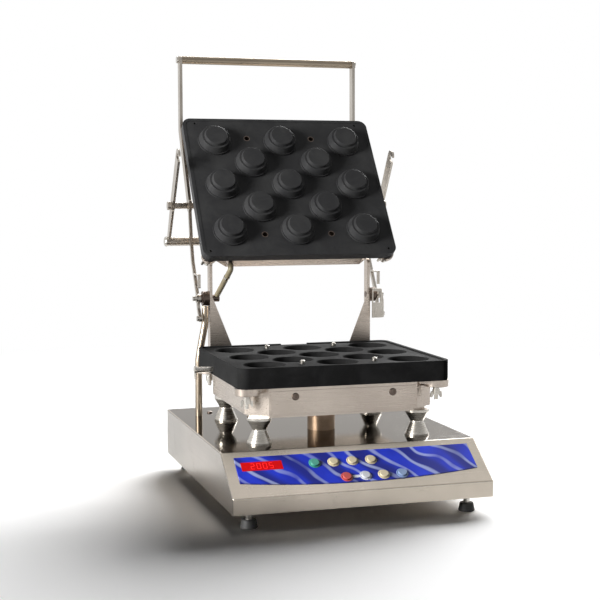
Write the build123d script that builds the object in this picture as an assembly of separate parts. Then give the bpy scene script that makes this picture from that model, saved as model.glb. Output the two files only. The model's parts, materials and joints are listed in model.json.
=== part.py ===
from build123d import *
import math
import os

# Tartlet shell maker with a fixed lower heater and a tilting upper heater, shown open.
# Millimetres. X runs to the right, Y to the rear and Z up. The floor is at Z 0.

# Base housing
BASE_WIDTH = 410
BASE_DEPTH = 478
BASE_BOTTOM = 26
LIP_TOP = 50.7
BASE_TOP = 103.7
SLOPE_RUN = 73.7
SHEET = 2
FLOOR_SHEET = 1.5

# Both heating plates
PLATE_WIDTH = 343
PLATE_DEPTH = 290
PLATE_CORNER = 15
PLATE_Y = -4.9
HOLE_PLANE = 224
RIM_WIDTH = 5.5
COLUMN_PITCH = 118.94
ROW_PITCH = 47.28
POCKET_DEPTH = 5
POCKET_INSET = 22
FACE_RECESS = 0.6

# Tartlet shapes
CAVITY_TOP_RADIUS = 33
CAVITY_BOTTOM_RADIUS = 24
CAVITY_DEPTH = 20
STUD_BASE_RADIUS = 30
STUD_BASE_HEIGHT = 3
STUD_ROOT_RADIUS = 28.5
STUD_SHOULDER_RADIUS = 24.7
STUD_SHOULDER_HEIGHT = 14
STUD_TIP_ROOT_RADIUS = 21
STUD_TIP_RADIUS = 19.3
STUD_HEIGHT = 19.3
PIN_OFFSET = 2 * ROW_PITCH + 7.5
PIN_RADIUS = 4
PIN_TOP = 6
GUIDE_RADIUS = 4.6
GUIDE_OUTER_RADIUS = 5.6

# Heater pans and the carriers between pan and plate
PAN_HALF_WIDTH = 153.5
PAN_HALF_DEPTH = 130
PAN_CUT_X = 32.5
PAN_CUT_Y = 25.5
PAN_SHEET = 1.5
CARRIER_THICKNESS = 6
LOWER_LOBE_RADIUS = 19.5
UPPER_LOBE_RADIUS = 13
NUT_STANDOFF = 8
BOLT_REACH = 20

# Corner bolts, as the half spans of the near and the far pair and how far out both pairs stand.
# The head's far pair stands nearer the middle, clear of the lever arms.
LOWER_BOLTS = (155, 155, 125.5)
UPPER_BOLTS = (158, 149, 134)

# Lever pivot and trunnion, as (Y, Z) places in the open position
PIVOT = (160.6, 306.5)
TRUNNION = (229, 465)
HEAD_LEAN = 54.31
TRUNNION_BEHIND_FACE = 70.8
TRUNNION_ABOVE_CENTRE = 6.84
RUNNING_GAP = 0.05

# Lever arms and clamp yoke
ARM_INNER = 161
ARM_OUTER = 166
HANDLE_PLACE = (302.35, 725)
HANDLE_RADIUS = 7.1
LINK_INNER = 192
LINK_OUTER = 196
CLAMP_BAR_PLACE = (266, 401)
CLAMP_BAR_RADIUS = 8
LINK_ANGLE = 121.7
LATCH_PLACE = (24.5, 203)
LATCH_RADIUS = 4.5
LATCH_REACH = 100.85

# The part's origin is midway between its frontmost and rearmost points, on the floor.
BASE_FRONT = -BASE_DEPTH / 2
BASE_REAR = BASE_DEPTH / 2
CENTRE_Y = (BASE_FRONT + HANDLE_PLACE[0] + HANDLE_RADIUS) / 2

# Stack of the lower heater, from the hole plane down
LOWER_THICKNESS = 30
UPPER_THICKNESS = 15
LOWER_PAN_TOP = HOLE_PLANE - LOWER_THICKNESS - CARRIER_THICKNESS
LOWER_PAN_BOTTOM = 150
TRAY_BOTTOM = 145
UPPER_PAN_DEPTH = 36

# Cable hose, entering the upper pan's lower panel at an (X, depth) place
HOSE_RADIUS = 4.8
HOSE_SPOUT = 8
HOSE_ENTRY = (-118, -38)

os.makedirs("parts", exist_ok=True)


def save(name, *shapes):
    """Write one named piece, or one group of alike pieces, moved to the part's own frame."""
    solids = []
    for shape in shapes:
        for solid in shape.solids():
            solids.append(Pos(0, -CENTRE_Y, 0) * solid)
    whole = solids[0] if len(solids) == 1 else Compound(solids)
    export_step(whole, f"parts/{name}.step")


def block(x0, x1, y0, y1, z0, z1):
    """A box given by its two ends along each axis."""
    middle = Pos((x0 + x1) / 2, (y0 + y1) / 2, (z0 + z1) / 2)
    return middle * Box(x1 - x0, y1 - y0, z1 - z0)


def post(x, y, z0, z1, radius):
    """An upright round bar."""
    return Pos(x, y, (z0 + z1) / 2) * Cylinder(radius, z1 - z0)


def bar_x(x0, x1, place, radius):
    """A round bar along X at a (Y, Z) place."""
    return Pos((x0 + x1) / 2, place[0], place[1]) * Rot(0, 90, 0) * Cylinder(radius, x1 - x0)


def bar_y(x, z, y0, y1, radius):
    """A round bar along Y."""
    return Pos(x, (y0 + y1) / 2, z) * Rot(90, 0, 0) * Cylinder(radius, y1 - y0)


def mirrored(shape):
    """The same piece on the left side."""
    return mirror(shape, about=Plane.YZ)


def both_sides(shape):
    return [shape, mirrored(shape)]


def side_plate(sketch, x0, x1):
    """A flat plate across X from a sketch whose own axes are Y and Z."""
    return extrude(Plane.YZ.offset(x0) * sketch, amount=x1 - x0)


def strap(points, width):
    """A bar of even width along a line of points, with round ends, as a flat sketch."""
    total = None
    for start, end in zip(points, points[1:]):
        run = math.dist(start, end)
        turn = math.degrees(math.atan2(end[1] - start[1], end[0] - start[0]))
        middle = Pos((start[0] + end[0]) / 2, (start[1] + end[1]) / 2)
        piece = middle * Rot(0, 0, turn) * SlotCenterToCenter(run, width)
        total = piece if total is None else total + piece
    return total


def disc(place, radius):
    return Pos(place[0], place[1]) * Circle(radius)


def polar(centre, distance, angle):
    """A (Y, Z) point at a distance and an angle from +Y, in degrees."""
    turn = math.radians(angle)
    return (centre[0] + distance * math.cos(turn), centre[1] + distance * math.sin(turn))


def cup_places():
    """Five rows of three and two places in turn, from the front row to the rear row."""
    places = []
    for row in range(5):
        y = (row - 2) * ROW_PITCH
        columns = (-1, 0, 1) if row % 2 == 0 else (-0.5, 0.5)
        for column in columns:
            places.append((column * COLUMN_PITCH, y))
    return places


def pin_places():
    return [(x * COLUMN_PITCH / 2, y * PIN_OFFSET) for x in (-1, 1) for y in (-1, 1)]


def corner_places(bolts):
    near, far, reach = bolts
    return [(-near, -reach), (near, -reach), (-far, reach), (far, reach)]


def octagon(inset=0):
    """The pan's outline, or the same outline moved in by an even distance."""
    half_x = PAN_HALF_WIDTH - inset
    half_y = PAN_HALF_DEPTH - inset
    slant = math.hypot(PAN_CUT_X, PAN_CUT_Y)
    cut_x = PAN_CUT_X + inset * (slant - PAN_CUT_X - PAN_CUT_Y) / PAN_CUT_Y
    cut_y = PAN_CUT_Y + inset * (slant - PAN_CUT_X - PAN_CUT_Y) / PAN_CUT_X
    corner = [(half_x, half_y - cut_y), (half_x - cut_x, half_y)]
    points = corner + [(-x, y) for x, y in reversed(corner)]
    points += [(-x, -y) for x, y in corner] + [(x, -y) for x, y in reversed(corner)]
    return Polygon(*points)


def outline(*points):
    """A flat sketch with straight sides, turned so that its face looks along its plane's axis."""
    area = sum(a[0] * b[1] - b[0] * a[1] for a, b in zip(points, points[1:] + points[:1]))
    return Polygon(*points) if area > 0 else Polygon(*reversed(points))


def slab(sketch, z0, z1):
    """A flat sketch made solid between two heights."""
    return extrude(Pos(0, 0, z0) * sketch, amount=z1 - z0)


def carrier(bolts, lobe_radius, top):
    """The plate between pan and heating plate, with a round lobe for each corner bolt."""
    sheet = octagon()
    holes = []
    for x, y in corner_places(bolts):
        sheet += strap([(0.8 * x, 0.8 * y), (x, y)], 2 * lobe_radius)
        holes.append(disc((x, y), 3.1))
    sheet -= RectangleRounded(256, 200, 10)
    sheet -= holes
    return slab(sheet, top - CARRIER_THICKNESS, top)


def element(height):
    """A tubular heating element laid in five runs, with an end turned down at each terminal."""
    reach = 118
    pitch = 38
    radius = 4
    start_x = 100
    corners = [(-start_x, -2 * pitch), (reach, -2 * pitch), (reach, -pitch), (-reach, -pitch)]
    corners += [(-reach, 0), (reach, 0), (reach, pitch), (-reach, pitch)]
    corners += [(-reach, 2 * pitch), (start_x, 2 * pitch)]
    path = FilletPolyline(*[(x, y, height) for x, y in corners], radius=pitch / 2 - 0.1)
    section = Plane(origin=path @ 0, z_dir=path % 0) * Circle(radius)
    heater = sweep(section, path=path)
    for side in (-1, 1):
        terminal = post(side * start_x, side * 2 * pitch, height - 14, height, radius)
        heater += terminal + Pos(side * start_x, side * 2 * pitch, height) * Sphere(radius)
    return heater


def insulation(bottom, top):
    """A board of glass wool with two holes for the element's terminals."""
    board = slab(octagon(PAN_SHEET + 0.5), bottom, top)
    for side in (-1, 1):
        board -= post(side * 100, side * 76, top - 24, top + 1, 5)
    return board


def wing_nut(x, y, top, turn):
    """A wing nut whose flat side faces up at the given height."""
    hub = Cylinder(6, 8, align=(Align.CENTER, Align.CENTER, Align.MAX))
    wing = outline((3, -1.5), (9, -4), (10, -12), (7.5, -13.5), (5, -9), (3, -7.5))
    wings = both_sides(extrude(Plane.XZ * wing, amount=1.25, both=True))
    nut = hub + wings - Cylinder(3.02, 40)
    return Pos(x, y, top) * Rot(0, 0, turn) * nut


def base_profile(inset):
    """The base's side outline as (Y, Z) points, or the sheet's inner face when moved in."""
    slope = (BASE_TOP - LIP_TOP) / SLOPE_RUN
    drop = inset * math.hypot(1, slope)
    slope_top = BASE_FRONT + SLOPE_RUN
    top = BASE_TOP - inset
    lip = LIP_TOP + slope * inset - drop
    corner = slope_top + (top - BASE_TOP + drop) / slope
    low = BASE_BOTTOM
    front = BASE_FRONT + inset
    rear = BASE_REAR - inset
    return outline((front, low), (rear, low), (rear, top), (corner, top), (front, lip))


SLOPE_LENGTH = math.hypot(SLOPE_RUN, BASE_TOP - LIP_TOP)
SLOPE_NORMAL = (0, -(BASE_TOP - LIP_TOP) / SLOPE_LENGTH, SLOPE_RUN / SLOPE_LENGTH)
SLOPE = Plane(origin=(0, BASE_FRONT + SLOPE_RUN, BASE_TOP), x_dir=(1, 0, 0), z_dir=SLOPE_NORMAL)

KEYS = {
    "key_top_1": (-67, -33),
    "key_top_2": (-37.5, -33),
    "key_top_3": (-7.5, -33),
    "key_top_4": (22.3, -33),
    "key_bottom_1": (-24.7, -64),
    "key_bottom_2": (5, -64),
    "key_bottom_3": (34, -64),
    "key_bottom_4": (63.5, -64),
}
KEY_RADIUS = 6.75
KEY_HOLE = 7.1
PANEL_SHEET = 1.2
WINDOW = (-148.5, -31.5, 63, 17)
FOOT_X = 173.4
FOOT_Y = 209.5
COLUMN_X = 130.3
COLUMN_FRONT = -110.7
COLUMN_REAR = 103.9
CENTRE_COLUMN_Y = -17
TUBE_X = -165
TUBE_Y = 159
INLET = (-110, 64)
SCREWS = (140.9, 181.6)


def key_cut(radius):
    """Round openings through the slope for the eight push buttons."""
    return [SLOPE * Pos(x, v, 0) * Cylinder(radius, 8) for x, v in KEYS.values()]


def window_cut():
    x, v, width, height = WINDOW
    return SLOPE * Pos(x, v, 0) * Box(width + 0.2, height + 0.2, 8)


def build_base():
    width = BASE_WIDTH / 2
    outer = side_plate(base_profile(0), -width, width)
    edges = [edge for edge in outer.edges() if edge.center().Z > BASE_BOTTOM + 0.1]
    outer = fillet(edges, 2.5)
    inner = side_plate(base_profile(SHEET), -width + SHEET, width - SHEET)
    shell = outer - inner - key_cut(KEY_HOLE) - window_cut()
    for side in (-1, 1):
        for y in (COLUMN_FRONT, COLUMN_REAR):
            shell -= post(side * COLUMN_X, y, 90, 110, 4.05)
        shell -= post(side * SCREWS[0], SCREWS[1], 90, 110, 2.1)
    shell -= post(0, CENTRE_COLUMN_Y, 90, 110, 14)
    shell -= post(TUBE_X, TUBE_Y, 90, 110, 6.1)
    x, z = INLET
    shell -= block(x - 38, x + 38, BASE_REAR - 10, BASE_REAR + 10, z - 12, z + 12)
    save("base_shell", shell)

    floor = block(-width + SHEET, width - SHEET, BASE_FRONT + SHEET, BASE_REAR - SHEET,
                  BASE_BOTTOM, BASE_BOTTOM + FLOOR_SHEET)
    for row in range(6):
        for side in (-1, 1):
            slot = Pos(side * 70, -60 + 24 * row, BASE_BOTTOM)
            floor -= slot * extrude(SlotCenterToCenter(70, 6), amount=4, both=True)
    pads = []
    studs = []
    for x in (-FOOT_X, FOOT_X):
        for y in (-FOOT_Y, FOOT_Y):
            floor -= post(x, y, 20, 40, 5.05)
            pad = Pos(x, y, 0) * Cone(13, 10.5, 13, align=(Align.CENTER, Align.CENTER, Align.MIN))
            pads.append(fillet(pad.edges(), 1.2) - post(x, y, 5, 14, 5))
            stud = post(x, y, 5, 36, 5)
            foot = BASE_BOTTOM + FLOOR_SHEET
            stud += Pos(x, y, foot) * extrude(RegularPolygon(9, 6), amount=5)
            studs.append(stud)
    save("base_floor", floor)
    save("foot_pads", *pads)
    save("foot_studs", *studs)


def build_controls():
    edge = Polyline((-188, -62), (-187.5, -12.5), (187.5, -12.5), (188, -62))
    edge += ThreePointArc((188, -62), (-10, -74.4), (-188, -62))
    panel = SLOPE * extrude(make_face(edge), amount=PANEL_SHEET)
    panel = panel - key_cut(KEY_HOLE) - window_cut()
    save("keypad_panel", panel)

    x, v, width, height = WINDOW
    save("display_window", SLOPE * Pos(x, v, 0.1) * Box(width, height, 2.6))

    for name, (x, v) in KEYS.items():
        cap = Pos(0, 0, 1.2) * Cylinder(KEY_RADIUS, 7)
        cap = fillet(cap.edges().sort_by(Axis.Z)[-1], 1)
        flange = Pos(0, 0, -2.85) * Cylinder(8.4, 1.1)
        plunger = Pos(0, 0, -4.1) * Cylinder(2.5, 1.4)
        save(name, SLOPE * Pos(x, v, 0) * (cap + flange + plunger))

    board = Pos(0, -44, -12.8) * Box(344, 66, 1.6)
    for x, v in KEYS.values():
        board += Pos(x, v, -9.1) * Box(6, 6, 5.8)
    x, v, width, height = WINDOW
    board += Pos(x, v, -6.7) * Box(width - 4, height - 2, 10.6)
    for x in (-165, 165):
        for v in (-18, -68):
            board += Pos(x, v, -7) * Cylinder(3, 10)
    save("control_board", SLOPE * board)

    floor = BASE_BOTTOM + FLOOR_SHEET
    core = block(30, 110, 40, 100, floor, floor + 52)
    coil = block(46, 94, 26, 114, floor + 12, floor + 40)
    save("transformer", core + coil)
    relays = block(-120, -20, 60, 130, floor + 8, floor + 10)
    for x in (-104, -70, -36):
        relays += block(x - 11, x + 11, 70, 98, floor + 10, floor + 36)
    for x in (-115, -25):
        for y in (65, 125):
            relays += post(x, y, floor, floor + 8, 3)
    save("power_relays", relays)


def build_rear_inlet():
    """Mains socket with the power switch beside it, in one snap-in frame."""
    x, z = INLET
    frame = block(x - 42, x + 42, BASE_REAR, BASE_REAR + 2.5, z - 16, z + 16)
    frame = fillet(frame.edges().filter_by(Axis.Y), 3)
    body = block(x - 37.8, x + 37.8, BASE_REAR - 30, BASE_REAR, z - 11.8, z + 11.8)
    inlet = frame + body
    socket = x + 18
    inlet -= block(socket - 12.5, socket + 12.5, BASE_REAR - 20, BASE_REAR + 5, z - 9, z + 9)
    for pin_x, pin_z in ((-7, 2), (0, -2), (7, 2)):
        inlet += block(socket + pin_x - 1, socket + pin_x + 1, BASE_REAR - 21, BASE_REAR - 4,
                       z + pin_z - 2, z + pin_z + 2)
    switch = x - 20
    inlet -= block(switch - 10, switch + 10, BASE_REAR - 16, BASE_REAR + 5, z - 11, z + 11)
    save("mains_inlet", inlet)

    pivot = (BASE_REAR - 2, z)
    dip = math.tan(math.radians(9))
    reach = 9.2
    rise = 3.6
    points = [(0, -4), (reach - 3, -4), (reach, rise + reach * dip), (0, rise)]
    points += [(-reach, rise + reach * dip), (-reach + 3, -4)]
    rocker = outline(*[(pivot[0] + out, pivot[1] + up) for up, out in points])
    rocker = side_plate(rocker, switch - 9.5, switch + 9.5)
    turned = Pos(0, pivot[0], pivot[1]) * Rot(-9, 0, 0) * Pos(0, -pivot[0], -pivot[1])
    save("switch_rocker", turned * rocker)


def waisted_column():
    """A post of two cones between a top ring and a thin base ring, with a stud below."""
    height = TRAY_BOTTOM - BASE_TOP
    ring = 19.25
    waist = 10.4
    side = outline((0, -12), (4, -12), (4, 0), (ring, 0), (ring, 2.5), (waist, 0.54 * height),
                   (ring, height - 4), (ring, height), (0, height))
    post_solid = revolve(Plane.XZ * side, axis=Axis.Z)
    waist_edge = [edge for edge in post_solid.edges() if abs(edge.center().Z - 0.54 * height) < 0.1]
    post_solid = fillet(waist_edge, 3)
    return Pos(0, 0, BASE_TOP) * post_solid


def build_columns():
    column = waisted_column()
    columns = []
    for x in (-COLUMN_X, COLUMN_X):
        for y in (COLUMN_FRONT, COLUMN_REAR):
            columns.append(Pos(x, y, 0) * column)
    save("support_columns", *columns)
    tube = post(0, CENTRE_COLUMN_Y, BASE_TOP, TRAY_BOTTOM, 22.5)
    tube -= post(0, CENTRE_COLUMN_Y, BASE_TOP - 1, TRAY_BOTTOM + 1, 20)
    save("centre_column", tube)


def at_plate(shape):
    """Move a piece of the lower heater from the plate's own centre to its place."""
    return Pos(0, PLATE_Y, 0) * shape


def heating_plate(thickness):
    """A cast plate with its working face at Z 0 and a heater pocket in its back."""
    plate = slab(RectangleRounded(PLATE_WIDTH, PLATE_DEPTH, PLATE_CORNER), -thickness, 0)
    pocket = RectangleRounded(PLATE_WIDTH - 2 * POCKET_INSET, PLATE_DEPTH - 2 * POCKET_INSET, 8)
    return plate - slab(pocket, -thickness, -thickness + POCKET_DEPTH)


def rim_outline():
    outer = RectangleRounded(PLATE_WIDTH, PLATE_DEPTH, PLATE_CORNER)
    inner = RectangleRounded(PLATE_WIDTH - 2 * RIM_WIDTH, PLATE_DEPTH - 2 * RIM_WIDTH,
                             PLATE_CORNER - RIM_WIDTH)
    return outer - inner


def build_lower_heater():
    bottom = -LOWER_THICKNESS
    plate = heating_plate(LOWER_THICKNESS)
    rim = slab(rim_outline(), 0, 2) - block(-24, 24, 120, 150, 0, 3)
    plate += rim
    cup = Cone(CAVITY_BOTTOM_RADIUS, CAVITY_TOP_RADIUS, CAVITY_DEPTH,
               align=(Align.CENTER, Align.CENTER, Align.MIN))
    cup = fillet(cup.edges().sort_by(Axis.Z)[0], 4)
    lead = Cone(CAVITY_TOP_RADIUS - 0.3, CAVITY_TOP_RADIUS + 1, 1,
                align=(Align.CENTER, Align.CENTER, Align.MAX))
    cup = Pos(0, 0, -CAVITY_DEPTH) * cup + lead
    plugs = []
    for x, y in cup_places():
        plate -= Pos(x, y, 0) * cup
        plate -= post(x, y, bottom, 0, 3)
        plug = post(x, y, bottom + POCKET_DEPTH, -CAVITY_DEPTH + 1.2, 2.97)
        plugs.append(chamfer(plug.edges().sort_by(Axis.Z)[-1], 0.4))
    pins = []
    for x, y in pin_places():
        plate -= post(x, y, -8, 1, PIN_RADIUS + 0.02)
        pin = post(x, y, -8, PIN_TOP, PIN_RADIUS)
        pins.append(chamfer(pin.edges().sort_by(Axis.Z)[-1], 1.5))
    for x, y in corner_places(LOWER_BOLTS):
        plate -= post(x, y, bottom, -15, 3.02)
    latch = (LATCH_PLACE[0] - PLATE_Y, LATCH_PLACE[1] - HOLE_PLANE)
    plate -= both_sides(bar_x(160, 180, latch, LATCH_RADIUS + 0.02))
    stack = Pos(0, PLATE_Y, HOLE_PLANE)
    save("lower_plate", stack * plate)
    save("cavity_plugs", *[stack * plug for plug in plugs])
    save("locating_pins", *[stack * pin for pin in pins])
    save("lower_carrier", stack * carrier(LOWER_BOLTS, LOWER_LOBE_RADIUS, bottom))
    save("lower_element", stack * element(bottom - 0.5))
    save("lower_insulation", at_plate(insulation(LOWER_PAN_BOTTOM + PAN_SHEET, LOWER_PAN_TOP)))

    pan = slab(octagon(), LOWER_PAN_BOTTOM, LOWER_PAN_TOP)
    pan -= slab(octagon(PAN_SHEET), LOWER_PAN_BOTTOM + PAN_SHEET, LOWER_PAN_TOP + 1)
    pan -= slab(octagon(20), LOWER_PAN_BOTTOM - 1, LOWER_PAN_BOTTOM + PAN_SHEET + 1)
    for x in (-79.5, 79.5):
        pan -= bar_y(x, 178, -PAN_HALF_DEPTH - 5, -PAN_HALF_DEPTH + 5, 2.05)
    save("lower_pan", at_plate(pan))
    tray = slab(octagon(8), TRAY_BOTTOM, LOWER_PAN_BOTTOM)
    tray -= slab(octagon(8 + PAN_SHEET), TRAY_BOTTOM + PAN_SHEET, LOWER_PAN_BOTTOM + 1)
    tray -= post(0, CENTRE_COLUMN_Y - PLATE_Y, TRAY_BOTTOM - 1, TRAY_BOTTOM + 3, 16)
    save("lower_tray", at_plate(tray))

    bolts = []
    nuts = []
    for x, y in corner_places(LOWER_BOLTS):
        bolt = post(x, y, 162, HOLE_PLANE - 15.2, 3) + post(x, y, 178, LOWER_PAN_TOP, 5)
        bolts.append(at_plate(bolt))
        nuts.append(at_plate(wing_nut(x, y, 178, 0 if y < 0 else 90)))
    save("lower_wing_bolts", *bolts)
    save("lower_wing_nuts", *nuts)

    latch_pin = bar_x(160, 202, LATCH_PLACE, LATCH_RADIUS) + bar_x(198, 202, LATCH_PLACE, 6)
    fitting = post(-200, LATCH_PLACE[0], 188, LATCH_PLACE[1] - 4, 2.3)
    save("latch_pins", latch_pin, mirrored(latch_pin) + fitting)


def build_hinge_stand():
    front = PLATE_Y + PAN_HALF_DEPTH
    width = 146
    rear = 190
    stand_top = 186
    stand = block(-width, width, front, rear, 172, stand_top)
    stand -= block(-width + SHEET, width - SHEET, front - 1, rear - SHEET, 171, stand_top - SHEET)
    save("hinge_carrier", stand)

    top = 371
    half_depth = 8
    inside = width - 5
    strap_front = PIVOT[0] - half_depth
    strap_rear = PIVOT[0] + half_depth
    post_side = outline((strap_front, stand_top), (strap_rear, stand_top),
                        (strap_rear, top - half_depth), (strap_front, top - half_depth))
    post_side += disc((PIVOT[0], top - half_depth), half_depth)
    upright = side_plate(post_side, inside, width)
    gusset = outline((93, stand_top), (108, 225), (inside, 308), (width, 308), (width, stand_top))
    upright += extrude(Plane.XZ.offset(-strap_front) * gusset, amount=SHEET)
    upright += block(93, width, strap_front - 12, strap_front, stand_top, stand_top + SHEET)
    upright -= bar_x(120, 160, PIVOT, 5.5 + RUNNING_GAP)
    save("right_upright", upright)
    save("left_upright", mirrored(upright))

    bush = bar_x(inside - 0.5, 150, PIVOT, 5.5) + bar_x(width + 0.3, 157.5, PIVOT, 12.5)
    bush += bar_x(157.5, ARM_INNER - 0.3, PIVOT, 7) + bar_x(158, 167, PIVOT, 4.6)
    bush -= bar_x(160, 168, PIVOT, 2.52)
    cable_way = mirrored(bar_x(138, 156, PIVOT, 4.2))
    cable_way += post(-152.3, PIVOT[0], PIVOT[1] - 13, PIVOT[1], 4.2)
    save("pivot_bushes", bush, mirrored(bush) - cable_way)
    bolt = bar_x(160.1, 168, PIVOT, 2.5) + bar_x(167, 168.4, PIVOT, 6.5)
    bolt += bar_x(168.4, 174, PIVOT, 4)
    save("pivot_bolts", *both_sides(bolt))

    route = [(TUBE_X, TUBE_Y, BASE_TOP - 20), (TUBE_X, TUBE_Y, 200), (-159, TUBE_Y, 234),
             (-153, TUBE_Y, 264), (-152.4, PIVOT[0] - 1, PIVOT[1] - 12.9)]
    path = FilletPolyline(*route, radius=60)
    tube = sweep(Plane(origin=path @ 0, z_dir=path % 0) * Circle(6), path=path)
    save("cable_tube", tube)


def build_lever():
    narrow = [(150, 273), (162, 288), (168, 307), (182, 330), (206, 367), (217, 401), TRUNNION]
    handle_end = (300, 724)
    arm = strap(narrow, 7) + strap([TRUNNION, (299, 601), handle_end], 16)
    arm += disc(PIVOT, 8) + disc(TRUNNION, 11) + disc((150, 273), 5.5)
    arm += strap([(157, 347), (194, 347)], 3) + strap([(157, 347), (157, 326)], 3)
    holes = disc(PIVOT, 4.6 + RUNNING_GAP) + disc(TRUNNION, 5.5 + RUNNING_GAP)
    plate = side_plate(arm - holes, ARM_INNER, ARM_OUTER)
    tail = (150, 273)
    plate -= bar_x(ARM_INNER - 1, ARM_OUTER + 1, tail, 2.52)
    plate -= bar_x(ARM_INNER - 1, ARM_OUTER + 1, HANDLE_PLACE, 3.02)
    save("right_lever_arm", plate)
    save("left_lever_arm", mirrored(plate))

    handle = bar_x(-ARM_INNER, ARM_INNER, HANDLE_PLACE, HANDLE_RADIUS)
    handle -= both_sides(bar_x(140, 170, HANDLE_PLACE, 3.02))
    save("handle_bar", handle)
    handle_bolt = bar_x(142, ARM_OUTER, HANDLE_PLACE, 3) + bar_x(ARM_OUTER, 169.5, HANDLE_PLACE, 6)
    tail_left = bar_x(ARM_INNER, ARM_OUTER, tail, 2.5) + bar_x(ARM_OUTER, 169.5, tail, 4.5)
    flange_in = ARM_OUTER + 0.1
    flange_out = flange_in + 2.4
    tail_right = bar_x(ARM_INNER, flange_out, tail, 2.5) + bar_x(flange_out, 172, tail, 4.5)
    save("lever_bolts", *both_sides(handle_bolt), tail_right, mirrored(tail_left))

    web = outline((147, 266), (flange_out - 3, 266), (flange_out, 271), (flange_out, 296),
                  (flange_out - 4, 318), (147, 318))
    window = Pos(155.5, 303) * Rectangle(13, 20)
    web_sheet = extrude(Plane.XZ.offset(-144) * (web - window), amount=2.5)
    flange = block(flange_in, flange_out, 141.5, 156, 266.5, 290)
    bracket = web_sheet + flange - bar_x(160, 180, tail, 2.52)
    save("heel_bracket", bracket)


def build_trunnions():
    pin = bar_x(138, 203, TRUNNION, 5.5) + bar_x(138, 145.5, TRUNNION, 9)
    pin += bar_x(197, 203, TRUNNION, 7.5)
    save("trunnion_pins", *both_sides(pin))


def build_clamp():
    hook = polar(TRUNNION, 102, LINK_ANGLE)
    foot = CLAMP_BAR_PLACE
    along = math.radians(LINK_ANGLE)
    across = (-math.sin(along), math.cos(along))

    def beside(point, half):
        return [(point[0] + side * half * across[0], point[1] + side * half * across[1])
                for side in (1, -1)]

    hook_left, hook_right = beside(hook, 11)
    hub_left, hub_right = beside(TRUNNION, 10)
    foot_left, foot_right = beside(foot, 6.5)
    body = outline(hook_left, hub_left, hub_right, hook_right)
    body += outline(hub_left, foot_left, foot_right, hub_right)
    body += disc(hook, 11) + disc(TRUNNION, 11) + disc(foot, 7.5)
    body -= disc(TRUNNION, 5.5 + RUNNING_GAP) + disc(foot, 3.02)
    notch = [polar(TRUNNION, LATCH_REACH, LINK_ANGLE + turn) for turn in (0, 3, 6, 9)]
    body -= strap(notch, 2 * LATCH_RADIUS + 0.8)
    link = side_plate(body, LINK_INNER, LINK_OUTER)
    save("right_clamp_link", link)
    save("left_clamp_link", mirrored(link))
    cross_bar = bar_x(-LINK_INNER, LINK_INNER, foot, CLAMP_BAR_RADIUS)
    cross_bar -= both_sides(bar_x(170, 193, foot, 3.02))
    save("clamp_bar", cross_bar)
    cap = bar_x(LINK_OUTER, 202, foot, 9)
    cap = fillet(cap.edges().sort_by(Axis.X)[-1], 4)
    save("clamp_bolts", *both_sides(bar_x(172, LINK_OUTER + 1, foot, 3) + cap))


def head_plane():
    """The upper plate's working face, with its own up direction as Y."""
    lean = math.radians(HEAD_LEAN)
    back = (math.sin(lean), -math.cos(lean))
    up = (math.cos(lean), math.sin(lean))
    y = TRUNNION[0] - TRUNNION_BEHIND_FACE * back[0] - TRUNNION_ABOVE_CENTRE * up[0]
    z = TRUNNION[1] - TRUNNION_BEHIND_FACE * back[1] - TRUNNION_ABOVE_CENTRE * up[1]
    return Plane(origin=(0, y, z), x_dir=(1, 0, 0), z_dir=(0, -back[0], -back[1]))


def tier(root_radius, end_radius, low, high):
    """One conical step of a stud, with its far edge rounded."""
    step = Cone(root_radius, end_radius, high - low, align=(Align.CENTER, Align.CENTER, Align.MIN))
    return Pos(0, 0, low) * fillet(step.edges().sort_by(Axis.Z)[-1], 0.9)


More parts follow.
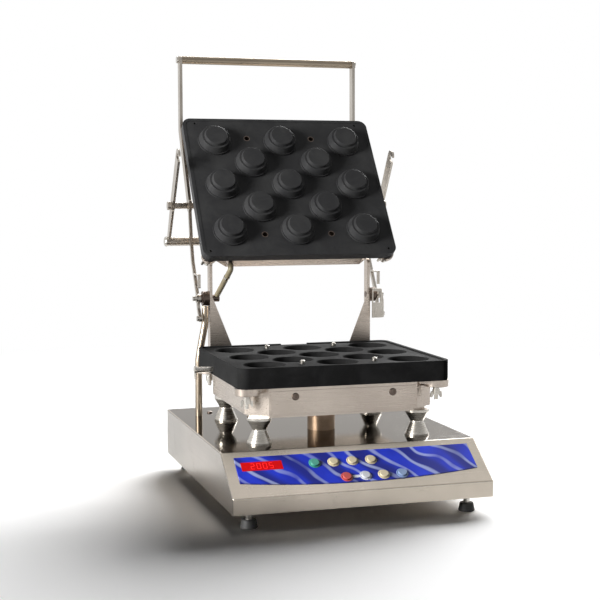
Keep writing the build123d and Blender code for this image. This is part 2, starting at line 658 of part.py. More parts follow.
def build_head():
    head = head_plane()
    back = -UPPER_THICKNESS
    pan_front = back - CARRIER_THICKNESS
    pan_back = pan_front - UPPER_PAN_DEPTH
    plate = heating_plate(UPPER_THICKNESS)
    inner = RectangleRounded(PLATE_WIDTH - 2 * RIM_WIDTH, PLATE_DEPTH - 2 * RIM_WIDTH,
                             PLATE_CORNER - RIM_WIDTH)
    plate -= slab(inner, -FACE_RECESS, 1)
    stud = post(0, 0, -FACE_RECESS - 1, STUD_BASE_HEIGHT, STUD_BASE_RADIUS)
    stud += tier(STUD_ROOT_RADIUS, STUD_SHOULDER_RADIUS, STUD_BASE_HEIGHT, STUD_SHOULDER_HEIGHT)
    stud += tier(STUD_TIP_ROOT_RADIUS, STUD_TIP_RADIUS, STUD_SHOULDER_HEIGHT, STUD_HEIGHT)
    for x, y in cup_places():
        plate += Pos(x, y, 0) * stud
    bushes = []
    for x, y in pin_places():
        plate -= post(x, y, back, 1, GUIDE_OUTER_RADIUS + 0.02)
        bush = post(x, y, back, -FACE_RECESS, GUIDE_OUTER_RADIUS)
        bushes.append(head * (bush - post(x, y, back, 1, GUIDE_RADIUS)))
    bolts = []
    nuts = []
    for x, y in corner_places(UPPER_BOLTS):
        plate -= post(x, y, back, -5, 3.02)
        plate -= post(x, y, -6, 1, 2.2)
        bolt = post(x, y, pan_front - BOLT_REACH, -5.2, 3)
        bolt += post(x, y, pan_front - NUT_STANDOFF, pan_front, 5)
        bolts.append(head * bolt)
        nuts.append(head * wing_nut(x, y, pan_front - NUT_STANDOFF, 90 if y > 0 else 0))
    save("upper_plate", head * plate)
    save("guide_bushes", *bushes)
    save("upper_wing_bolts", *bolts)
    save("upper_wing_nuts", *nuts)
    save("upper_carrier", head * carrier(UPPER_BOLTS, UPPER_LOBE_RADIUS, back))
    save("upper_element", head * element(back - 0.5))

    pan = slab(octagon(), pan_back, pan_front)
    pan -= slab(octagon(PAN_SHEET), pan_back + PAN_SHEET, pan_front + 1)
    spout = Cone(7, 5.2, HOSE_SPOUT + 1, align=(Align.CENTER, Align.CENTER, Align.MIN))
    pan += Pos(HOSE_ENTRY[0], 1 - PAN_HALF_DEPTH, HOSE_ENTRY[1]) * Rot(90, 0, 0) * spout
    save("upper_pan", head * pan)
    save("upper_insulation", head * insulation(pan_back + PAN_SHEET, pan_front))

    tip = -TRUNNION_BEHIND_FACE
    ear = disc((TRUNNION_ABOVE_CENTRE, tip), 11)
    ear += outline((-26, pan_back), (-26, pan_back - 4), (TRUNNION_ABOVE_CENTRE - 10.5, tip - 3),
                   (TRUNNION_ABOVE_CENTRE + 10.5, tip - 3), (40, pan_back - 4), (40, pan_back))
    ear -= disc((TRUNNION_ABOVE_CENTRE, tip), 5.5 + RUNNING_GAP)
    ear -= Pos(0, pan_back + 6) * Rectangle(120, 12)
    bracket = side_plate(ear, 146, 150)
    bracket += block(132, 150, -26, 40, pan_back - 3, pan_back)
    save("head_brackets", *[head * piece for piece in both_sides(bracket)])
    return head


def build_hose(head):
    """The cable hose from the hollow left bush to the upper pan's lower panel."""
    elbow_x = -134
    entry_x, entry_depth = HOSE_ENTRY
    start = head.from_local_coords((entry_x, -PAN_HALF_DEPTH - HOSE_SPOUT - 0.1, entry_depth))
    below = head.from_local_coords((entry_x, -PAN_HALF_DEPTH - HOSE_SPOUT - 9, entry_depth))
    centre = Vector(elbow_x, PIVOT[0], PIVOT[1])
    direction = (below - centre).normalized()
    elbow = bar_x(elbow_x - 6, elbow_x + 6, PIVOT, 6) + bar_x(-150, elbow_x - 5, PIVOT, 4.1)
    save("hose_elbow", elbow)
    path = FilletPolyline(start, below, centre + direction * 7.5, radius=8)
    hose = sweep(Plane(origin=path @ 0, z_dir=path % 0) * Circle(HOSE_RADIUS), path=path)
    save("head_hose", hose)


def build_screws():
    screws = []
    x, y = SCREWS
    for side in (-x, x):
        screw = post(side, y, BASE_TOP - 10, BASE_TOP, 2)
        head = fillet(post(side, y, BASE_TOP, BASE_TOP + 2.6, 4.6).edges().sort_by(Axis.Z)[-1], 1.5)
        screws.append(screw + head)
    face = PLATE_Y - PAN_HALF_DEPTH
    for x in (-79.5, 79.5):
        shank = bar_y(x, 178, face, face + 1.5, 2)
        head = bar_y(x, 178, face - 2.6, face, 6)
        head = fillet(head.edges().sort_by(Axis.Y)[0], 1.6)
        screws.append(shank + head - bar_y(x, 178, face - 3, face - 1, 2.6))
    save("case_screws", *screws)


build_base()
build_controls()
build_rear_inlet()
build_columns()
build_lower_heater()
build_hinge_stand()
build_lever()
build_trunnions()
build_clamp()
head_frame = build_head()
build_hose(head_frame)
build_screws()
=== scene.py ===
import json
import math

import bmesh
import bpy
from mathutils import Matrix, Vector


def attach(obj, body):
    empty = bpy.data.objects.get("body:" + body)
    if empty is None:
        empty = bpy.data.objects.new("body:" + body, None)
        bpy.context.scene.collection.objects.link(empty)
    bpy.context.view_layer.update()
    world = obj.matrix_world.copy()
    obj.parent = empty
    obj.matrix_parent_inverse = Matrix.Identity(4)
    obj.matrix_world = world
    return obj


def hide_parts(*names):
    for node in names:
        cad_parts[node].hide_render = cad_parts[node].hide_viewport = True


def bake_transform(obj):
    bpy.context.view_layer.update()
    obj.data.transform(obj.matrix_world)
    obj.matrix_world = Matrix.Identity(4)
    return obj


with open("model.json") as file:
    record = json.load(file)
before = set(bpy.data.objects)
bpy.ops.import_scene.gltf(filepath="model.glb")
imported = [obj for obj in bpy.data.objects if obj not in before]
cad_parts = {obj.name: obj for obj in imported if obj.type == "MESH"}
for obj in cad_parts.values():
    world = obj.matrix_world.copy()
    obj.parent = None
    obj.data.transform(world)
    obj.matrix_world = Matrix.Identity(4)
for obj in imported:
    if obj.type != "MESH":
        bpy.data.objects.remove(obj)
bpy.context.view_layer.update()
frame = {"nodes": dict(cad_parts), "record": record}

# Looks of a tartlet shell maker, in metres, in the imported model's frame.
# Lengths are written in millimetres, from the middle of the base at floor level.

MM = 0.001
SHIFT_Y = -35.225
SLOPE_TOP = (-165.3, 103.7)
SLOPE_RUN = 73.7
SLOPE_RISE = 53.0
SLOPE_TURN = math.atan2(SLOPE_RISE, SLOPE_RUN)


def place(x, y, z):
    """A point given in millimetres from the base's middle, in the frame's metres."""
    return Vector((x * MM, (y + SHIFT_Y) * MM, z * MM))


def linear(red, green, blue):
    """A colour given as it looks on screen, from 0 to 255, as the shader needs it."""
    parts = []
    for value in (red, green, blue):
        value /= 255
        parts.append(value / 12.92 if value <= 0.04045 else ((value + 0.055) / 1.055) ** 2.4)
    return (*parts, 1.0)


def grey(level):
    """A grey given as the shader needs it."""
    return (level, level, level, 1.0)


def added(thing):
    """The same object, once it is linked into the scene."""
    bpy.context.scene.collection.objects.link(thing)
    return thing


# Camera

CAMERA_PLACE = (-648.84, -2018.83, 495.17)
CAMERA_TURN = (85.09, 0.06, -17.03)
FOCAL_LENGTH = 77.99
SENSOR_WIDTH = 36


def add_camera():
    data = bpy.data.cameras.new("camera")
    data.sensor_fit = "HORIZONTAL"
    data.sensor_width = SENSOR_WIDTH
    data.lens = FOCAL_LENGTH
    camera = added(bpy.data.objects.new("camera", data))
    camera.location = place(*CAMERA_PLACE)
    camera.rotation_euler = [math.radians(turn) for turn in CAMERA_TURN]
    bpy.context.scene.camera = camera


# Shader building

class Nodes:
    """A node tree with short ways to add and join nodes."""

    def __init__(self, tree):
        self.tree = tree

    def add(self, kind, **values):
        node = self.tree.nodes.new(kind)
        for key, value in values.items():
            setattr(node, key, value)
        return node

    def join(self, output, target):
        self.tree.links.new(output, target)

    def fill(self, target, value):
        """Join a socket to another socket, or set its plain value."""
        if isinstance(value, bpy.types.NodeSocket):
            self.join(value, target)
        else:
            target.default_value = value

    def fill_named(self, node, **values):
        """Fill a node's sockets by their names, written with low lines for spaces."""
        for key, value in values.items():
            self.fill(node.inputs[key.replace("_", " ")], value)

    def span(self, value, low, high, to_low=0.0, to_high=1.0, smooth=False):
        """The run of a value from low to high as a run from to_low to to_high, held beyond it."""
        node = self.add("ShaderNodeMapRange")
        node.interpolation_type = "SMOOTHSTEP" if smooth else "LINEAR"
        self.fill_named(node, Value=value, From_Min=low, From_Max=high, To_Min=to_low, To_Max=to_high)
        return node.outputs["Result"]

    def math(self, operation, first, second=0.0):
        node = self.add("ShaderNodeMath", operation=operation)
        self.fill(node.inputs[0], first)
        self.fill(node.inputs[1], second)
        return node.outputs["Value"]

    def mix(self, factor, first, second, kind="RGBA"):
        node = self.add("ShaderNodeMix", data_type=kind)
        self.fill_named(node, Factor=factor, A=first, B=second)
        return node.outputs["Result"]

    def mix_value(self, factor, first, second):
        return self.mix(factor, first, second, "FLOAT")


class Shader(Nodes):
    """A material's node tree, with noise, bump and the sockets of its main shader."""

    def __init__(self, name):
        self.material = bpy.data.materials.new(name)
        self.material.use_nodes = True
        super().__init__(self.material.node_tree)
        self.main = self.tree.nodes["Principled BSDF"]

    def spread(self, scale=(1, 1, 1), turn=(0, 0, 0), shift=(0, 0, 0)):
        """Places on the object in metres, times a scale along each axis."""
        coordinates = self.add("ShaderNodeTexCoord")
        mapping = self.add("ShaderNodeMapping", vector_type="TEXTURE")
        self.fill_named(mapping, Vector=coordinates.outputs["Object"], Location=shift, Rotation=turn,
                        Scale=[1 / part for part in scale])
        return mapping.outputs["Vector"]

    def noise(self, vector, scale, detail=4, rough=0.55, distortion=0):
        node = self.add("ShaderNodeTexNoise")
        self.fill_named(node, Vector=vector, Scale=scale, Detail=detail, Roughness=rough,
                        Distortion=distortion)
        return node.outputs["Fac"]

    def bump(self, height, strength, distance=0.0002):
        node = self.add("ShaderNodeBump")
        self.fill_named(node, Height=height, Strength=strength, Distance=distance)
        self.join(node.outputs["Normal"], self.main.inputs["Normal"])

    def set(self, **values):
        self.fill_named(self.main, **values)


# Finishes

SHEET_GRAIN = ((3, 1100, 1100), (1100, 3, 1100))
BAR_GRAIN = ((300, 300, 20), (400, 120, 120))
TOOL_LINES = (60, 60, 1400)
WOOL_FIBRE = (200, 700, 900)
SIDE_FACE = 0.7
LEVEL_FACE = 0.95


def brushed(name, colour, tint, rough, grain=SHEET_GRAIN, top_rough=None, painted_top_shade=None):
    """Brushed metal, with one grain on most faces and another on the faces to the sides.

    With a top roughness and a painted top shade, the faces that look up are polished, and they get a
    darker colour and a dimmer reflection tint as painted shade; the faces to the sides are mixed half
    way to dark grey as painted shade."""
    shader = Shader(name)
    lines, side_lines = [shader.noise(shader.spread(scale), 1.0, detail=6, rough=0.65)
                         for scale in grain]
    facing = shader.add("ShaderNodeNewGeometry")
    parts = shader.add("ShaderNodeSeparateXYZ")
    shader.join(facing.outputs["True Normal"], parts.inputs["Vector"])
    sideways = shader.math("GREATER_THAN", shader.math("ABSOLUTE", parts.outputs["X"]), SIDE_FACE)
    streaks = shader.mix_value(sideways, lines, side_lines)
    cloud = shader.noise(shader.spread(), 4, detail=5)
    smears = shader.noise(shader.spread(), 26, detail=6, rough=0.7, distortion=0.4)
    darker = [part * 0.8 for part in colour[:3]] + [1.0]
    tone = shader.mix(shader.span(cloud, 0.38, 0.62), colour, tint)
    tone = shader.mix(shader.span(streaks, 0.35, 0.75, 0.0, 0.28), tone, darker)
    base_rough = shader.span(streaks, 0.3, 0.7, rough * 0.8, rough * 1.25)
    if top_rough is not None:
        upward = shader.math("GREATER_THAN", parts.outputs["Z"], LEVEL_FACE)
        polished = shader.span(streaks, 0.3, 0.7, top_rough * 0.7, top_rough * 1.3)
        base_rough = shader.mix_value(upward, base_rough, polished)
        # Painted shade: the faces that look up take a darker colour and a dimmer reflection tint.
        tone = shader.mix(upward, tone, painted_top_shade)
        # Painted shade: the faces to the sides are mixed half way to dark grey.
        tone = shader.mix(shader.math("MULTIPLY", sideways, 0.5), tone, grey(0.12))
        shader.set(Specular_Tint=shader.mix(upward, grey(1.0), (0.6, 0.58, 0.56, 1.0)))
    smudge = shader.math("MULTIPLY", shader.span(smears, 0.5, 0.72, smooth=True), 0.05)
    shader.set(Base_Color=tone, Metallic=1.0, Roughness=shader.math("ADD", base_rough, smudge))
    shader.bump(streaks, 0.08, 0.0003)
    return shader.material


def turned(name, colour, tint, rough):
    """Turned bright metal with fine tool lines and a little tarnish."""
    shader = Shader(name)
    lines = shader.noise(shader.spread(TOOL_LINES), 1.0, rough=0.6)
    cloud = shader.noise(shader.spread(), 40, detail=5, rough=0.6)
    shader.set(Base_Color=shader.mix(shader.span(cloud, 0.4, 0.75), colour, tint), Metallic=1.0,
               Roughness=shader.span(lines, 0.3, 0.7, rough * 0.75, rough * 1.3))
    shader.bump(lines, 0.06)
    return shader.material


def moulded(name, colour, tint, rough, grain=900, depth=0.12):
    """Moulded plastic or rubber with fine texture and slight colour change."""
    shader = Shader(name)
    fine = shader.noise(shader.spread(), grain, rough=0.6)
    cloud = shader.noise(shader.spread(), 60, rough=0.6)
    shader.set(Base_Color=shader.mix(shader.span(cloud, 0.35, 0.7), colour, tint),
               Roughness=shader.span(cloud, 0.3, 0.7, rough * 0.85, rough * 1.15))
    shader.bump(fine, depth)
    return shader.material


def black_plate(name, dark, pale, rough, shine):
    """Seasoned cast plate: fine grain, a thin oil film and dull spots."""
    shader = Shader(name)
    grain = shader.noise(shader.spread(), 1500, detail=3, rough=0.6)
    film = shader.noise(shader.spread(), 22, detail=6, rough=0.65, distortion=0.6)
    spots = shader.noise(shader.spread(), 140, rough=0.6)
    tone = shader.mix(shader.span(film, 0.4, 0.7), dark, pale)
    tone = shader.mix(shader.span(spots, 0.6, 0.75, 0, 0.35), tone, linear(46, 42, 38))
    sheen = shader.span(film, 0.3, 0.75, rough * 0.85, rough * 1.15)
    shader.set(Base_Color=tone, Specular_IOR_Level=shine,
               Roughness=shader.math("ADD", sheen, shader.span(spots, 0.4, 0.8, 0, 0.08)))
    shader.bump(grain, 0.12)
    return shader.material


def glass_wool():
    """Pressed wool board with long fibres."""
    shader = Shader("glass_wool")
    fibre = shader.noise(shader.spread(WOOL_FIBRE), 1.0, detail=6, rough=0.7, distortion=1.5)
    shader.set(Base_Color=shader.mix(fibre, linear(196, 172, 110), linear(236, 222, 178)),
               Roughness=0.95)
    shader.bump(fibre, 0.8, 0.002)
    return shader.material


def panel_print():
    """Blue printed keypad with thin slanting ribbons of light."""
    shader = Shader("panel_print")
    flat = shader.spread(turn=(SLOPE_TURN, 0, 0), shift=place(0, *SLOPE_TOP))

    def ribbons(scale):
        node = shader.add("ShaderNodeTexWave", wave_type="BANDS", bands_direction="DIAGONAL")
        shader.fill_named(node, Vector=flat, Scale=scale, Distortion=5, Detail=1.0, Detail_Scale=0.8)
        return node.outputs["Fac"]

    light = shader.span(ribbons(17), 0.76, 1.0, smooth=True)
    cloud = shader.noise(flat, 14, detail=3, rough=0.5)
    bright = shader.mix(shader.span(cloud, 0.3, 0.7), linear(16, 34, 168), linear(36, 64, 224))
    deep = shader.mix(shader.span(ribbons(9), 0.0, 0.8, smooth=True), linear(16, 30, 136), bright)
    strength = shader.math("MULTIPLY", light, shader.span(cloud, 0.36, 0.6, 0.12, 0.75))
    shader.set(Base_Color=shader.mix(strength, deep, linear(188, 200, 242)), Roughness=0.34,
               Specular_IOR_Level=0.3)
    shader.bump(shader.noise(flat, 1800, detail=3, rough=0.5), 0.06)
    return shader.material


def display_red():
    """Dark red display window with a faint glow of its own."""
    shader = Shader("display_red")
    haze = shader.noise(shader.spread(), 180, detail=3, rough=0.5)
    shader.set(Base_Color=shader.mix(haze, linear(150, 6, 10), linear(188, 10, 14)), Roughness=0.45,
               Emission_Color=linear(214, 4, 10), Emission_Strength=0.4, Specular_IOR_Level=0.15)
    shader.bump(haze, 0.02)
    return shader.material


def lit_digit():
    """The red glow of a lit digit."""
    shader = Shader("lit_digit")
    haze = shader.noise(shader.spread(), 400, detail=2, rough=0.5)
    shader.set(Base_Color=linear(200, 10, 16), Roughness=0.4, Emission_Strength=0.9,
               Emission_Color=shader.mix(haze, linear(238, 10, 20), linear(255, 40, 40)))
    return shader.material


def white_print():
    """White printed ink."""
    shader = Shader("white_print")
    grain = shader.noise(shader.spread(), 500, detail=3, rough=0.5)
    shader.set(Base_Color=shader.mix(grain, linear(226, 230, 240), linear(240, 242, 248)),
               Roughness=0.4)
    return shader.material


# Each row says a finish's colour, the second colour it drifts to, its roughness and any extras.

# The base's top is polished, and its darker colour is painted shade.
BASE_TOP = {"top_rough": 0.06, "painted_top_shade": linear(150, 148, 144)}
RECIPES = {
    brushed: {
        "base_sheet": ((208, 197, 184), (178, 170, 157), 0.22, BASE_TOP),
        "heater_sheet": ((190, 179, 168), (168, 157, 147), 0.28, {}),
        "lever_steel": ((190, 184, 175), (158, 148, 136), 0.3, {"grain": BAR_GRAIN}),
        "handle_steel": ((156, 144, 128), (132, 120, 104), 0.34, {"grain": BAR_GRAIN}),
    },
    turned: {
        "turned_steel": ((196, 192, 185), (170, 164, 154), 0.26, {}),
        "bronze_tube": ((160, 138, 118), (128, 108, 88), 0.42, {}),
        "element_steel": ((112, 100, 92), (84, 72, 64), 0.4, {}),
    },
    moulded: {
        "key_green": ((60, 150, 130), (84, 168, 148), 0.3, {}),
        "key_cream": ((226, 214, 182), (206, 190, 150), 0.3, {}),
        "key_red": ((206, 92, 86), (188, 70, 66), 0.3, {}),
        "key_white": ((222, 224, 230), (206, 208, 216), 0.3, {}),
        "key_blue": ((120, 146, 190), (142, 164, 200), 0.3, {}),
        "rubber_black": ((26, 26, 26), (38, 37, 36), 0.62, {"grain": 700, "depth": 0.3}),
        "hose_rubber": ((128, 118, 92), (100, 92, 72), 0.4, {}),
        "inlet_black": ((28, 28, 28), (38, 38, 38), 0.45, {}),
        "board_green": ((20, 84, 44), (30, 100, 54), 0.4, {}),
        "relay_grey": ((120, 124, 130), (98, 102, 110), 0.35, {}),
        "core_steel": ((64, 62, 62), (88, 76, 62), 0.5, {}),
    },
    black_plate: {
        "plate_black": ((46, 46, 47), (60, 60, 60), 0.48, {"shine": 0.15}),
        # Painted shade: the lower plate's finish is a darker copy of the plate finish, with less
        # shine.
        "plate_dull": ((34, 34, 34), (46, 46, 46), 0.75, {"shine": 0.02}),
    },
}


def make_materials():
    """Every finish by its name."""
    made = {
        "glass_wool": glass_wool(),
        "panel_print": panel_print(),
        "display_red": display_red(),
        "lit_digit": lit_digit(),
        "white_print": white_print(),
    }
    for recipe, rows in RECIPES.items():
        for name, (colour, tint, rough, extras) in rows.items():
            made[name] = recipe(name, linear(*colour), linear(*tint), rough, **extras)
    return made


materials = make_materials()

# Nodes that look unlike the rest of their material slot.

OWN_FINISH = {
    "handle_bar": "handle_steel",
    "cable_tube": "handle_steel",
    # The lower plate takes the darker copy of the plate finish as painted shade.
    "lower_plate": "plate_dull",
    # The guide bushes take the dark element steel as painted shade of their holes.
    "guide_bushes": "element_steel",
    "pivot_bushes": "element_steel",
    "hose_elbow": "element_steel",
    # The case screws take the dark element steel as painted shade of their recesses.
    "case_screws": "element_steel",
}


def dress_nodes():
    """Give every node its own finish, or that of its material slot."""
    for part in frame["record"]["subparts"]:
        mesh = frame["nodes"][part["node"]].data
        mesh.materials.clear()
        mesh.materials.append(materials[OWN_FINISH.get(part["node"], part["material_slot"])])


# Pieces in mesh code

def new_piece(name, mesh_maker, slot, body):
    """A mesh object from a bmesh builder, with its finish and the body that carries it."""
    build = bmesh.new()
    mesh_maker(build)
    bmesh.ops.recalc_face_normals(build, faces=build.faces)
    mesh = bpy.data.meshes.new(name)
    build.to_mesh(mesh)
    build.free()
    piece = added(bpy.data.objects.new(name, mesh))
    mesh.materials.append(materials[slot])
    if body:
        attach(piece, body)
    return piece


def skin_rings(build, rings):
    """Faces from each ring of points to the next, and one face over each end."""
    count = len(rings[0])
    for low, high in zip(rings, rings[1:]):
        for index in range(count):
            following = (index + 1) % count
            build.faces.new((low[index], low[following], high[following], high[index]))
    build.faces.new(rings[-1])
    build.faces.new(list(reversed(rings[0])))


def rounded_slab(build, to_world, size, radius, steps):
    """A flat plate with round corners and softly bevelled top edges, about its own middle."""
    width, height, thick = size
    outline = []
    for turn in range(4):
        side_x = 1 if turn in (0, 3) else -1
        side_y = 1 if turn in (0, 1) else -1
        for step in range(steps + 1):
            angle = math.radians(90 * turn + 90 * step / steps)
            outline.append((side_x * (width / 2 - radius) + radius * math.cos(angle),
                            side_y * (height / 2 - radius) + radius * math.sin(angle)))
    bevel = min(0.25 * thick, 0.4 * radius)
    rings = []
    for inset, level in ((0, 0), (0, thick - bevel), (bevel, thick)):
        scale_x = (width - 2 * inset) / width
        scale_y = (height - 2 * inset) / height
        rings.append([build.verts.new(to_world @ Vector((x * scale_x * MM, y * scale_y * MM,
                                                         level * MM))) for x, y in outline])
    skin_rings(build, rings)


def turned_ring(build, to_world, profile, segments):
    """A closed (radius, height) profile turned about the Z axis, in millimetres."""
    rings = []
    for step in range(segments):
        angle = 2 * math.pi * step / segments
        rings.append([build.verts.new(to_world @ Vector((r * math.cos(angle) * MM,
                                                         r * math.sin(angle) * MM, h * MM)))
                      for r, h in profile])
    for step in range(segments):
        near, far = rings[step], rings[(step + 1) % segments]
        for index in range(len(profile)):
            following = (index + 1) % len(profile)
            build.faces.new((near[index], far[index], far[following], near[following]))


# Button rims, printed bar and digits on the sloped front

SLOPE_FRAME = Matrix.Translation(place(0, *SLOPE_TOP)) @ Matrix.Rotation(SLOPE_TURN, 4, "X")
PANEL_SHEET = 1.2
KEYS = {
    "key_top_1": (-67, -33),
    "key_top_2": (-37.5, -33),
    "key_top_3": (-7.5, -33),
    "key_top_4": (22.3, -33),
    "key_bottom_1": (-24.7, -64),
    "key_bottom_2": (5, -64),
    "key_bottom_3": (34, -64),
    "key_bottom_4": (63.5, -64),
}
RIM_PROFILE = ((7.2, 0), (9.2, 0), (9.1, 0.5), (8.7, 0.8), (7.6, 0.8), (7.2, 0.5))
BAR_FROM_KEY = 9.5
BAR_WIDTH = 5
BAR_THICK = 0.3

DISPLAY_PLACE = (-148.5, -31.5)
DISPLAY_FACE = 1.4
DISPLAY_TEXT = "2005"
DIGIT_WIDTH = 5.2
DIGIT_HEIGHT = 10.4
DIGIT_PITCH = 9.5
DIGIT_THICK = 0.15
STROKE = 1.3
STROKE_GAP = 0.3
STROKES_OF = {"2": "abdeg", "0": "abcdef", "5": "acdfg"}


def on_slope(x, up, lift):
    """A frame on the sloped front: across, up from its top edge, and off its face."""
    return SLOPE_FRAME @ Matrix.Translation((x * MM, up * MM, lift * MM))


def add_key_rims():
    """A moulded rim round each push button."""
    slots = {part["node"]: part["material_slot"] for part in frame["record"]["subparts"]}
    for name, (x, up) in KEYS.items():
        def build_rim(build, x=x, up=up):
            turned_ring(build, on_slope(x, up, PANEL_SHEET), RIM_PROFILE, segments=48)
        new_piece(f"rim_{name}", build_rim, slots[name], "root")


def add_key_bar():
    """The printed bar that joins the first two buttons of the lower row."""
    left, up = KEYS["key_bottom_1"]
    right = KEYS["key_bottom_2"][0]
    size = (right - left - 2 * BAR_FROM_KEY, BAR_WIDTH, BAR_THICK)

    def build_bar(build):
        rounded_slab(build, on_slope((left + right) / 2, up, PANEL_SHEET), size, radius=0.6, steps=3)
    new_piece("key_bar", build_bar, "white_print", "root")


def add_digits():
    """Plain seven-segment digits on the display."""
    half_width = DIGIT_WIDTH / 2
    half_height = DIGIT_HEIGHT / 2
    strokes = {
        "a": (0, half_height, DIGIT_WIDTH, STROKE),
        "g": (0, 0, DIGIT_WIDTH, STROKE),
        "d": (0, -half_height, DIGIT_WIDTH, STROKE),
        "b": (half_width, half_height / 2, STROKE, half_height),
        "c": (half_width, -half_height / 2, STROKE, half_height),
        "e": (-half_width, -half_height / 2, STROKE, half_height),
        "f": (-half_width, half_height / 2, STROKE, half_height),
    }
    middle = (len(DISPLAY_TEXT) - 1) / 2
    for index, digit in enumerate(DISPLAY_TEXT):
        centre = DISPLAY_PLACE[0] + (index - middle) * DIGIT_PITCH

        def build_digit(build, centre=centre, digit=digit):
            for letter in STROKES_OF[digit]:
                x, y, across, tall = strokes[letter]
                spot = on_slope(centre + x, DISPLAY_PLACE[1] + y, DISPLAY_FACE)
                size = (across - STROKE_GAP, tall - STROKE_GAP, DIGIT_THICK)
                rounded_slab(build, spot, size, radius=0.4, steps=2)
        new_piece(f"digit_{index + 1}", build_digit, "lit_digit", "root")


# Sheet and bosses on the lower heater

COVER_SIZE = (238, 36, 0.8)
COVER_MIDDLE = (0, -134.9, 169)
BOSS_PROFILE = ((5.3, 0), (18.6, 0), (19.3, 0.7), (19.3, 4.9), (5.3, 4.9))
BOSS_LEVEL = 183
PLATE_Y = -4.9
LOBE_ACROSS = 155
LOBE_ALONG = 125.5


def add_front_cover():
    """The separate bright sheet on the lower pan's front."""
    face = Matrix.Translation(place(*COVER_MIDDLE)) @ Matrix.Rotation(math.radians(90), 4, "X")

    def build_cover(build):
        rounded_slab(build, face, COVER_SIZE, radius=1.5, steps=3)
    new_piece("front_cover", build_cover, "heater_sheet", "root")


def add_lobe_bosses():
    """The thick round bosses under the lower carrier's corner lobes."""
    for side, side_name in ((-1, "left"), (1, "right")):
        for end, end_name in ((-1, "front"), (1, "rear")):
            middle = place(side * LOBE_ACROSS, PLATE_Y + end * LOBE_ALONG, BOSS_LEVEL)

            def build_boss(build, middle=middle):
                turned_ring(build, Matrix.Translation(middle), BOSS_PROFILE, segments=64)
            new_piece(f"lobe_boss_{side_name}_{end_name}", build_boss, "heater_sheet", "root")


# Cable hose between the lever's elbow and the leaning head

PIVOT = (160.6, 306.5)
TRUNNION = (229, 465)
HEAD_LEAN = math.radians(54.31)
FACE_TO_TRUNNION = 70.8
MIDDLE_TO_TRUNNION = 6.84
HOSE_X = -134
HOSE_RADIUS = 4.8
ELBOW_REACH = 7.5
SPOUT_PLACE = (-118, -138.1, 38)
SPOUT_DROP = 8.9
BEND_REACH = 5
STRAIGHT_STEPS = 16
BEND_STEPS = 8
HOSE_STEP = 0.5
HOSE_SPLIT = 0.62
RIB_SWING = 0.12
RIB_PITCH = 2.4
RING_WALL = 0.5
RING_STEPS = 4


def head_point(x, up, back):
    """A point given across, up and back from the middle of the leaning plate's face."""
    back_way = Vector((0, math.sin(HEAD_LEAN), -math.cos(HEAD_LEAN)))
    up_way = Vector((0, math.cos(HEAD_LEAN), math.sin(HEAD_LEAN)))
    centre = Vector((0, *TRUNNION)) - FACE_TO_TRUNNION * back_way - MIDDLE_TO_TRUNNION * up_way
    return centre + up * up_way + back * back_way + Vector((x, 0, 0))


def hose_route():
    """Points from the elbow to the pan's spout, with one round bend below the spout."""
    x, up, back = SPOUT_PLACE
    spout = head_point(x, up, back)
    bend = head_point(x, up - SPOUT_DROP, back)
    elbow = Vector((HOSE_X, *PIVOT))
    run = (bend - elbow).normalized()
    start = elbow + ELBOW_REACH * run
    before = bend - BEND_REACH * run
    after = bend + BEND_REACH * (spout - bend).normalized()
    points = [start.lerp(before, step / STRAIGHT_STEPS) for step in range(STRAIGHT_STEPS)]
    for step in range(BEND_STEPS + 1):
        t = step / BEND_STEPS
        points.append((1 - t) ** 2 * before + 2 * t * (1 - t) * bend + t * t * after)
    points.append(spout)
    return [place(*point) for point in points]


def tube_along(build, points, radius_at, segments=28):
    """A round tube through points, with its radius given by the distance run in millimetres."""
    rings = []
    across = Vector((1, 0, 0))
    run = 0.0
    for index, point in enumerate(points):
        before = points[max(index - 1, 0)]
        after = points[min(index + 1, len(points) - 1)]
        run += (point - before).length / MM
        along = (after - before).normalized()
        side = (across - along * across.dot(along)).normalized()
        other = along.cross(side)
        radius = radius_at(run) * MM
        ring = []
        for step in range(segments):
            turn = 2 * math.pi * step / segments
            spot = point + radius * (side * math.cos(turn) + other * math.sin(turn))
            ring.append(build.verts.new(spot))
        rings.append(ring)
    skin_rings(build, rings)


def finer(points, spacing):
    """The same route with even short steps."""
    result = [points[0]]
    for start, end in zip(points, points[1:]):
        steps = max(1, round((end - start).length / spacing))
        result += [start.lerp(end, (step + 1) / steps) for step in range(steps)]
    return result


def add_hose():
    """A ribbed sleeve in two stretches, with a ring between that rides the trunnions."""
    points = finer(hose_route(), HOSE_STEP * MM)
    split = round(HOSE_SPLIT * len(points))
    ring_points = points[split - RING_STEPS:split + RING_STEPS + 1]

    def ribs(run):
        return HOSE_RADIUS - RIB_SWING + RIB_SWING * math.cos(2 * math.pi * run / RIB_PITCH)

    def smooth(run):
        return HOSE_RADIUS + RING_WALL
    lower = new_piece("hose_lower", lambda build: tube_along(build, points[:split + 1], ribs),
                      "hose_rubber", None)
    upper = new_piece("hose_upper", lambda build: tube_along(build, points[split:], ribs),
                      "hose_rubber", None)
    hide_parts("head_hose")
    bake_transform(lower)
    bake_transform(upper)
    new_piece("hose_ring", lambda build: tube_along(build, ring_points, smooth),
              "turned_steel", "trunnions")


# Floor, world and lights, in metres

FLOOR_REACH = 60.0
WHITE_FROM = 1.1
WHITE_BEYOND = 2.0
PAPER_GREYS = (grey(0.19), grey(0.21))
SEEN_PAPER_GREYS = (grey(1.17), grey(1.2))
ROOM_BEHIND_CAMERA = 0.5
ROOM_AHEAD = 1.0
ROOM_FILL = 0.025
SUN_STRENGTH = 5.4
SUN_SPREAD = math.radians(40)
SUN_PLACE = (0.75, 1.0, 0.7)
SOFTBOX_POWER = 105
SOFTBOX_SIZE = 0.8
SOFTBOX_PLACE = (-2.2, -0.8, 0.8)
SOFTBOX_AIM = (0, 0, 0.45)


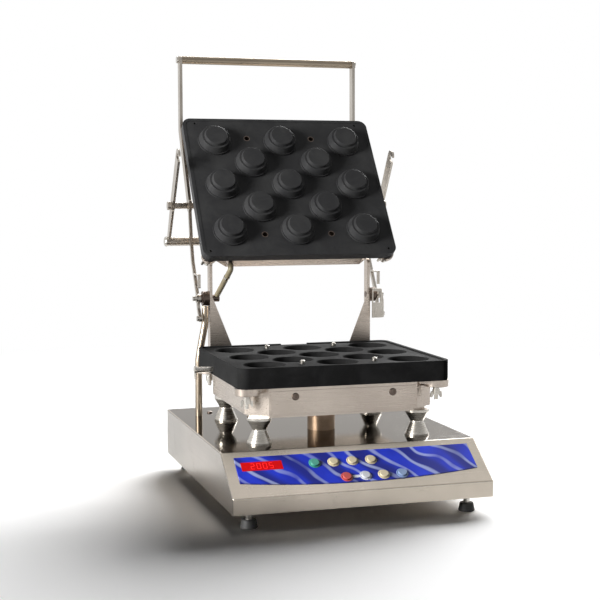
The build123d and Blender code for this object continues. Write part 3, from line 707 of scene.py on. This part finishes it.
def add_floor():
    """White paper that runs out to pure white and keeps the object's shadow."""
    mesh = bpy.data.meshes.new("floor")
    corners = [(-FLOOR_REACH, -FLOOR_REACH, 0), (FLOOR_REACH, -FLOOR_REACH, 0),
               (FLOOR_REACH, FLOOR_REACH, 0), (-FLOOR_REACH, FLOOR_REACH, 0)]
    mesh.from_pydata(corners, [], [(0, 1, 2, 3)])
    floor = added(bpy.data.objects.new("floor", mesh))
    shader = Shader("floor_paper")
    rays = shader.add("ShaderNodeLightPath")
    seen = shader.math("MAXIMUM", rays.outputs["Is Camera Ray"], rays.outputs["Is Glossy Ray"])
    seen = shader.math("MAXIMUM", seen, rays.outputs["Is Transmission Ray"])
    grain = shader.noise(shader.spread(), 6, detail=3, rough=0.5)
    paper, seen_paper = [shader.mix(grain, *greys) for greys in (PAPER_GREYS, SEEN_PAPER_GREYS)]
    shader.set(Base_Color=shader.mix(seen, paper, seen_paper), Roughness=0.9, Specular_IOR_Level=0.1)
    spot = shader.add("ShaderNodeTexCoord")
    distance = shader.add("ShaderNodeVectorMath", operation="LENGTH")
    shader.join(spot.outputs["Object"], distance.inputs[0])
    far = shader.span(distance.outputs["Value"], WHITE_FROM, WHITE_BEYOND, smooth=True)
    glow = shader.add("ShaderNodeEmission")
    shader.fill_named(glow, Color=grey(1.0))
    blank = shader.add("ShaderNodeMixShader")
    shader.join(shader.math("MULTIPLY", seen, far), blank.inputs["Fac"])
    shader.join(shader.main.outputs["BSDF"], blank.inputs[1])
    shader.join(glow.outputs["Emission"], blank.inputs[2])
    shader.join(blank.outputs["Shader"], shader.tree.nodes["Material Output"].inputs["Surface"])
    mesh.materials.append(shader.material)


def add_world():
    """A white room to look at and to mirror, dimmer at the front, with a low even light of its own."""
    world = bpy.data.worlds.new("studio")
    bpy.context.scene.world = world
    world.use_nodes = True
    room = Nodes(world.node_tree)
    coordinates = room.add("ShaderNodeTexCoord")
    parts = room.add("ShaderNodeSeparateXYZ")
    room.join(coordinates.outputs["Generated"], parts.inputs["Vector"])
    rays = room.add("ShaderNodeLightPath")
    strength = room.span(parts.outputs["Y"], -0.9, 0.35, ROOM_BEHIND_CAMERA, ROOM_AHEAD, smooth=True)
    strength = room.mix_value(rays.outputs["Is Diffuse Ray"], strength, ROOM_FILL)
    strength = room.mix_value(rays.outputs["Is Camera Ray"], strength, 1.0)
    room.fill_named(room.tree.nodes["Background"], Color=grey(1.0), Strength=strength)


def aimed(data, name, spot, aim):
    """A lamp at one spot that faces another."""
    lamp = added(bpy.data.objects.new(name, data))
    lamp.location = spot
    lamp.rotation_euler = (Vector(aim) - Vector(spot)).to_track_quat("-Z", "Y").to_euler()
    return lamp


def add_lights():
    """A broad lamp at the rear right for the shadow in front, and a softbox low at the left.

    The softbox lights everything but the floor."""
    sun = bpy.data.lights.new("rear_light", "SUN")
    sun.energy = SUN_STRENGTH
    sun.angle = SUN_SPREAD
    aimed(sun, "rear_light", SUN_PLACE, (0, 0, 0))
    softbox = bpy.data.lights.new("key_light", "AREA")
    softbox.shape = "RECTANGLE"
    softbox.size = SOFTBOX_SIZE
    softbox.size_y = SOFTBOX_SIZE
    softbox.energy = SOFTBOX_POWER
    lamp = aimed(softbox, "key_light", SOFTBOX_PLACE, SOFTBOX_AIM)
    unlit = bpy.data.collections.new("unlit_by_key")
    unlit.objects.link(bpy.data.objects["floor"])
    unlit.collection_objects[0].light_linking.link_state = "EXCLUDE"
    lamp.light_linking.receiver_collection = unlit


add_camera()
dress_nodes()
add_key_rims()
add_key_bar()
add_digits()
add_front_cover()
add_lobe_bosses()
add_hose()
add_floor()
add_world()
add_lights()

scene = bpy.context.scene
scene.view_settings.view_transform = "Standard"
